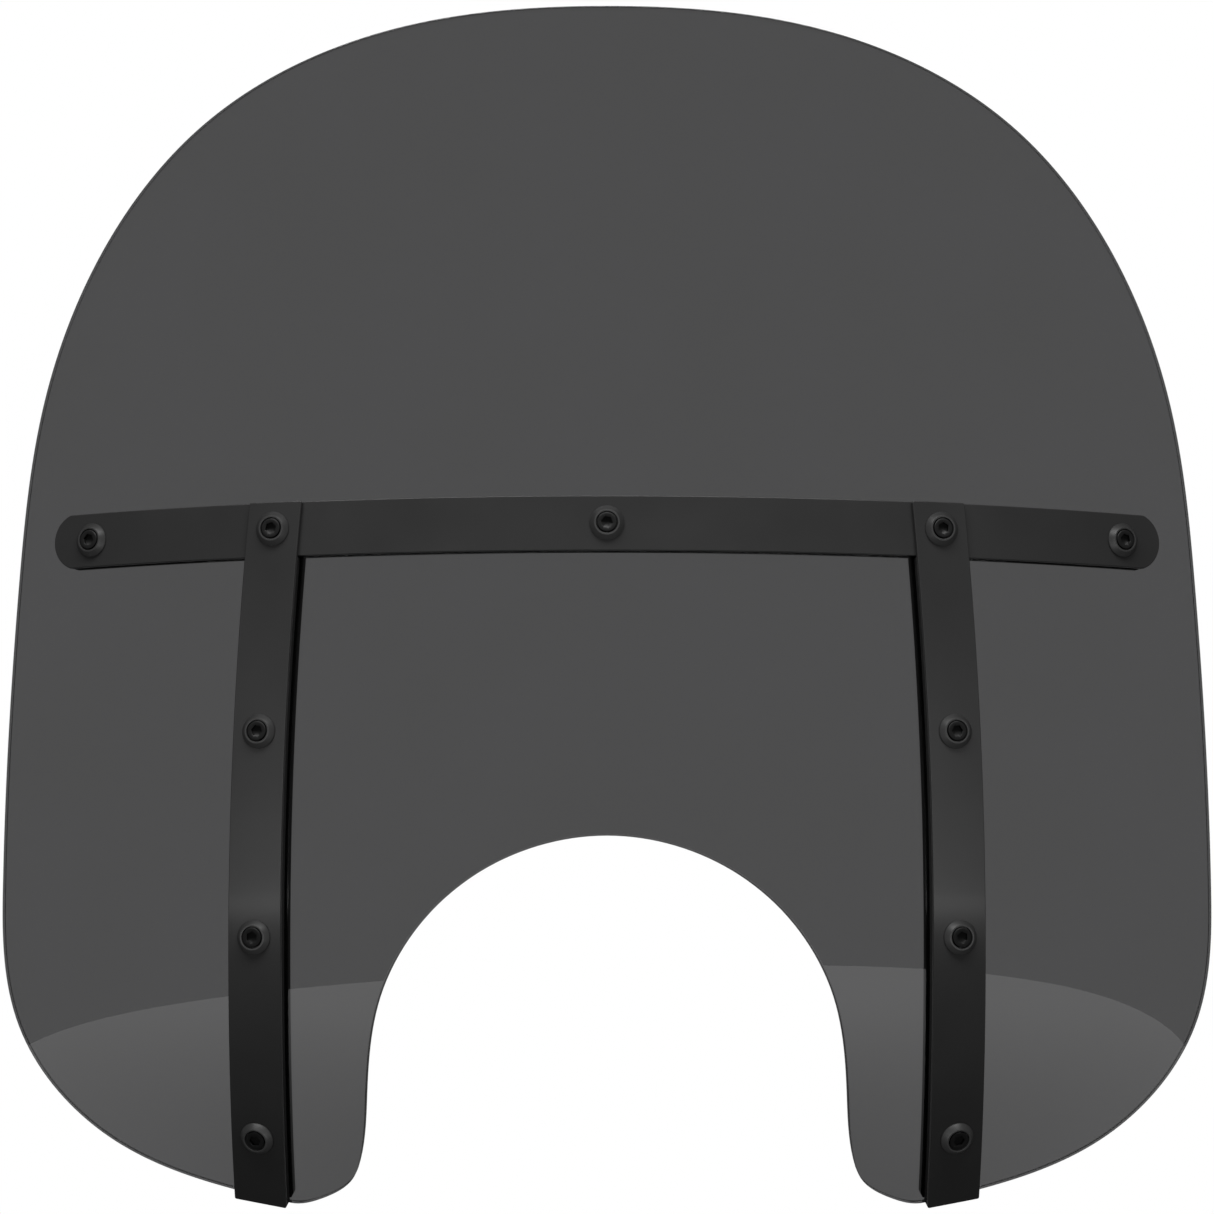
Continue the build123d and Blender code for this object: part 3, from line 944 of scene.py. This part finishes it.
rear_seat = bar_rear - seat_gap(tube_radius + bar_rear)
deep_seat = junction_rear - seat_gap(tube_radius + junction_rear)
bent_seat = junction_rear - seat_gap(post_bend_radius + junction_rear)
crossbar_end = on_tube(crossbar_hole / tube_radius, 0)
right_side = [("crossbar_end_", crossbar_end, bar_front, rear_seat, False),
              ("junction_", on_post(0), junction_front, deep_seat, False),
              ("post_upper_", on_post(post_hole_pitch), junction_front, deep_seat, False),
              ("post_middle_", on_post(2 * post_hole_pitch), junction_front, bent_seat, True),
              ("post_lower_", on_post(3 * post_hole_pitch), junction_front, bent_seat, True)]
spots = [("crossbar_center", on_tube(0, 0), bar_front, rear_seat, False)]
for name, matrix, front, rear, is_stud in right_side:
    spots.append((name + "right", matrix, front, rear, is_stud))
    spots.append((name + "left", mirrored(matrix), front, rear, is_stud))
first_turn, turn_step = 0.35, 2.4
turns = {spot[0]: first_turn + turn_step * i for i, spot in enumerate(spots)}


def seats(chosen, which, extra=0.0):
    """Places of the chosen spots at their front or rear seat, moved further out by extra."""
    return [(n, lifted(m, (front if which == "front" else rear) + extra), turns[n])
            for n, m, front, rear, _ in chosen]


capped = [s for s in spots if not s[4]]
studs = [s for s in spots if s[4]]
print(len(capped), "screws with cap nuts and", len(studs), "studs")

# %% [markdown]
# A capped screw ends inside its nut. A stud has a turned groove behind its thin nut,
# and then its free thread.

# %% Set the fasteners
fasteners("cup_washers", cup_washer, seats(spots, "front"), black_plate, "cup_washer_")
fasteners("washers_rear", rear_washer(), seats(spots, "rear"), nut_plate, "",
          ["rear_washers"])
fasteners("cap_nuts", cap_nut(), seats(capped, "rear", -washer_thickness), nut_plate,
          "cap_nut_")
fasteners("thin_nuts", thin_nut(), seats(studs, "rear", -washer_thickness), nut_plate,
          "thin_nut_")
cap_nut_wall, cap_nut_tip_gap = 2.0 * mm, 0.5 * mm
tip_depth = cap_nut_height - cap_nut_wall - cap_nut_tip_gap
for kind, chosen in (("crossbar", [s for s in capped if s[2] == bar_front]),
                     ("post", [s for s in capped if s[2] == junction_front])):
    nut_seat = chosen[0][3] - washer_thickness - chosen[0][2]
    body = screw("screw_" + kind, nut_seat, nut_seat - tip_depth)
    fasteners("screws_" + kind, body, seats(chosen, "front"), black_oxide, "screw_")
nut_end = bent_seat - washer_thickness - thin_nut_height - junction_front
body = screw("screw_stud", nut_end + thin_nut_height, nut_end - stud_reach,
             (nut_end - stud_relief, nut_end))
fasteners("screws_stud", body, seats(studs, "front"), black_oxide, "screw_")

# %% [markdown]
# The soft sleeves in the screen's holes are hidden by the bars. Their shape in the
# model is right, so they stay as they are and get the tape's matt finish.

# %% The sleeves keep their model shape
sleeves = frame["nodes"]["panel_bushings"]
sleeves.data.materials.clear()
sleeves.data.materials.append(vinyl_tape)
print("the sleeves have", len(sleeves.data.polygons), "faces")

# %% [markdown]
# ## The floor
#
# The screen hangs in a white studio by its bracket studs. A pale oval floor lies below
# and in front of it. Its far edge is what draws the curved line across the ears, where
# they begin to mirror the floor. It is plain and pale where it is looked at. In the
# screen's mirror image it glows, and a painted shade darkens that glow smoothly towards
# the point under the screen, as if the screen shaded it. That light reaches the screen
# only, so the black parts stay dark.

# %% Floor
def looked_at(tree):
    """One for rays from the camera, also where they pass the screen, and otherwise zero."""
    rays = add(tree, "ShaderNodeLightPath")
    seen = add(tree, "ShaderNodeMath", {0: rays.outputs["Is Camera Ray"],
                                        1: rays.outputs["Is Transmission Ray"]},
               operation="MAXIMUM")
    return seen.outputs[0]


floor_drop = 600 * mm
floor_right, floor_ahead = 275 * mm, 1477 * mm
floor_half_sizes = (1.319, 1.891)
floor_turn = radians(24)
floor_fade = 800 * mm
floor_seen = 0.72
floor_middle = crossbar_middle + Vector((floor_right, -floor_ahead, -floor_drop))
disc = bmesh.new()
bmesh.ops.create_circle(disc, cap_ends=True, segments=128, radius=1)
floor_mesh = bpy.data.meshes.new("floor")
disc.to_mesh(floor_mesh)
disc.free()
floor_mesh.transform(Matrix.Translation(floor_middle) @ Matrix.Rotation(floor_turn, 4, "Z")
                     @ Matrix.Diagonal((*floor_half_sizes, 1, 1)))
floor = bpy.data.objects.new("floor", floor_mesh)
bpy.context.scene.collection.objects.link(floor)
paper = bpy.data.materials.new("white_floor_paper")
paper.use_nodes = True
tree = paper.node_tree
shader = tree.nodes["Principled BSDF"]
shader.inputs["Base Color"].default_value = linear("#f4f4f4")
shader.inputs["Roughness"].default_value = 0.8
# The floor's glow carries a painted shade: darkest at the point under the screen, fading out over
# about 800 mm.
under_screen = crossbar_middle - Vector((0, 0, floor_drop))
position = add(tree, "ShaderNodeNewGeometry").outputs["Position"]
away = add(tree, "ShaderNodeVectorMath", {0: position, 1: under_screen}, operation="DISTANCE")
square = add(tree, "ShaderNodeMath", {0: away.outputs["Value"], 1: 2.0}, operation="POWER")
spread = add(tree, "ShaderNodeMath", {0: square.outputs[0], 1: -floor_fade ** 2},
             operation="DIVIDE")
shade = add(tree, "ShaderNodeMath", {0: spread.outputs[0]}, operation="EXPONENT")
glow_with_painted_shade = add(tree, "ShaderNodeMath", {0: 1.0, 1: shade.outputs[0]}, operation="SUBTRACT")
pale = add(tree, "ShaderNodeMix", {0: looked_at(tree), 2: glow_with_painted_shade.outputs[0], 3: floor_seen},
           data_type="FLOAT")
tree.links.new(pale.outputs[0], shader.inputs["Emission Strength"])
shader.inputs["Emission Color"].default_value = (1, 1, 1, 1)
floor_mesh.materials.append(paper)
mirror = bpy.data.collections.new("mirrors_the_floor")
mirror.objects.link(screen)
floor.light_linking.receiver_collection = mirror
print("the floor is", round(floor_drop / mm), "mm below the crossbar")

# %% [markdown]
# ## The sky
#
# The sky is white where it is looked at, also through the screen. In reflections, and
# as light, it is much dimmer. A white sky all round would spread one even glare over
# the black parts and the screen, and hide their shape.

# %% Sky
world = bpy.data.worlds.new("studio")
bpy.context.scene.world = world
world.use_nodes = True
sky = world.node_tree
sky.nodes.clear()
sky_seen, sky_light = 1.0, 0.12
white = add(sky, "ShaderNodeBackground", {"Color": (1, 1, 1, 1), "Strength": sky_seen})
room = add(sky, "ShaderNodeBackground", {"Color": (1, 1, 1, 1), "Strength": sky_light})
mixed = add(sky, "ShaderNodeMixShader", {0: looked_at(sky), 1: room.outputs[0],
                                         2: white.outputs[0]})
add(sky, "ShaderNodeOutputWorld", {"Surface": mixed.outputs[0]})
bpy.context.scene.view_settings.view_transform = "Standard"
print("the sky has", len(sky.nodes), "nodes")

# %% [markdown]
# ## The lights
#
# A wide soft box high in front lights the bars evenly and leaves their lower ends, which
# face down, darker. A long narrow one in front, nearly level, draws the band of light
# across the posts where they start to curl. It reaches the black parts other than the
# screws, and not the glossy screen, which would mirror it. A weak one from below reaches
# the cup washers only and lifts the undersides of their bevels. The last one stands
# behind and shows the rear bars and nuts. It doesn't reach the screen either.

# %% Lights
centre = (cad_low + cad_high) / 2


def lit(name, wanted):
    """A collection of the meshes that a light may reach."""
    chosen = bpy.data.collections.new(name)
    for thing in bpy.context.scene.objects:
        if thing.type == "MESH" and thing != floor and wanted(thing):
            chosen.objects.link(thing)
    return chosen


def soft_light(name, direction, distance, width, height, power, receivers):
    """A soft box that faces the middle of the object and lights one collection only.

    Lengths are in metres and power is in watts.
    """
    data = bpy.data.lights.new(name, "AREA")
    data.shape = "RECTANGLE"
    data.size, data.size_y, data.energy = width, height, power
    light = bpy.data.objects.new(name, data)
    light.location = centre + direction * distance
    light.rotation_euler = direction.to_track_quat("Z", "Y").to_euler()
    light.visible_camera = False
    light.visible_transmission = False
    light.light_linking.receiver_collection = receivers
    bpy.context.scene.collection.objects.link(light)
    return light


def toward(azimuth, elevation):
    """A direction. Azimuth 0 is in front, 90 is on the right."""
    a, e = radians(azimuth), radians(elevation)
    return Vector((sin(a) * cos(e), -cos(a) * cos(e), sin(e)))


whole = lit("lit_whole", lambda thing: True)
black_parts = lit("lit_black_parts", lambda thing: thing != screen)
band_parts = lit("lit_band_parts", lambda thing: thing != screen and "screw" not in thing.name)
cups = lit("lit_cups", lambda thing: thing.name == "cup_washers")
lights = [soft_light("key", toward(-6, 62), 2.4, 2.8, 0.9, 80, whole),
          soft_light("band", toward(0, 4.5), 2.2, 4.6, 0.16, 15, band_parts),
          soft_light("low", toward(0, -25), 0.9, 1.4, 0.3, 5, cups),
          soft_light("back", toward(165, 40), 2.4, 2.0, 1.0, 60, black_parts)]
print("lights:", [light.name for light in lights])
